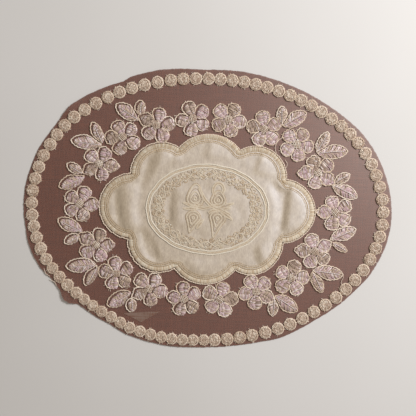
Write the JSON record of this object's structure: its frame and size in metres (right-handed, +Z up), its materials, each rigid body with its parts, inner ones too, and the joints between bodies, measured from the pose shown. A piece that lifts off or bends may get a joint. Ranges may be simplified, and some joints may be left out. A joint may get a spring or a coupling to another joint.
{
  "type": "oval lace doily",
  "caption": "Oval sheer table doily with a dotted embroidered rim, a garland of flowers and leaf pairs, and a scalloped satin centre with a braided oval.",
  "frame": {"origin": "middle of the cloth's outline, on the flat underside that lies on the table", "axes": "+X along the oval's long way, +Y across it, +Z up out of the face"},
  "size_m": [0.4046, 0.306, 0.0041],
  "materials": {
    "organza": "sheer, fine plain weave, mauve-brown",
    "satin": "soft satin sheen, champagne",
    "cream_cord": "twisted cord and satin stitch, cream",
    "lilac_thread": "satin stitch, mottled lilac and pearl",
    "rose_beige_thread": "spun wheel stitch, rose beige"
  },
  "bodies": {
    "root": {"organza_ground": "organza", "satin_centre": "satin", "scallop_edging": "cream_cord", "oval_braid": "cream_cord", "scroll_band": "cream_cord", "centre_motif": "cream_cord", "dot_edging": "rose_beige_thread", "flower_01": "lilac_thread", "flower_02": "lilac_thread", "flower_03": "lilac_thread", "flower_04": "lilac_thread", "flower_05": "lilac_thread", "flower_06": "lilac_thread", "flower_07": "lilac_thread", "flower_08": "lilac_thread", "flower_09": "lilac_thread", "flower_10": "lilac_thread", "flower_11": "lilac_thread", "flower_12": "lilac_thread", "flower_13": "lilac_thread", "flower_14": "lilac_thread", "flower_15": "lilac_thread", "flower_16": "lilac_thread", "flower_17": "lilac_thread", "flower_18": "lilac_thread", "leaf_large_01": "lilac_thread", "leaf_large_02": "lilac_thread", "leaf_large_03": "lilac_thread", "leaf_large_04": "lilac_thread", "leaf_large_05": "lilac_thread", "leaf_large_06": "lilac_thread", "leaf_large_07": "lilac_thread", "leaf_large_08": "lilac_thread", "leaf_large_09": "lilac_thread", "leaf_large_10": "lilac_thread", "leaf_large_11": "lilac_thread", "leaf_large_12": "lilac_thread", "leaf_small_01": "lilac_thread", "leaf_small_02": "lilac_thread", "leaf_small_03": "lilac_thread", "leaf_small_04": "lilac_thread", "leaf_small_05": "lilac_thread", "leaf_small_06": "lilac_thread", "leaf_small_07": "lilac_thread", "leaf_small_08": "lilac_thread", "leaf_small_09": "lilac_thread", "leaf_small_10": "lilac_thread", "leaf_small_11": "lilac_thread", "leaf_small_12": "lilac_thread"}
  },
  "joints": []
}
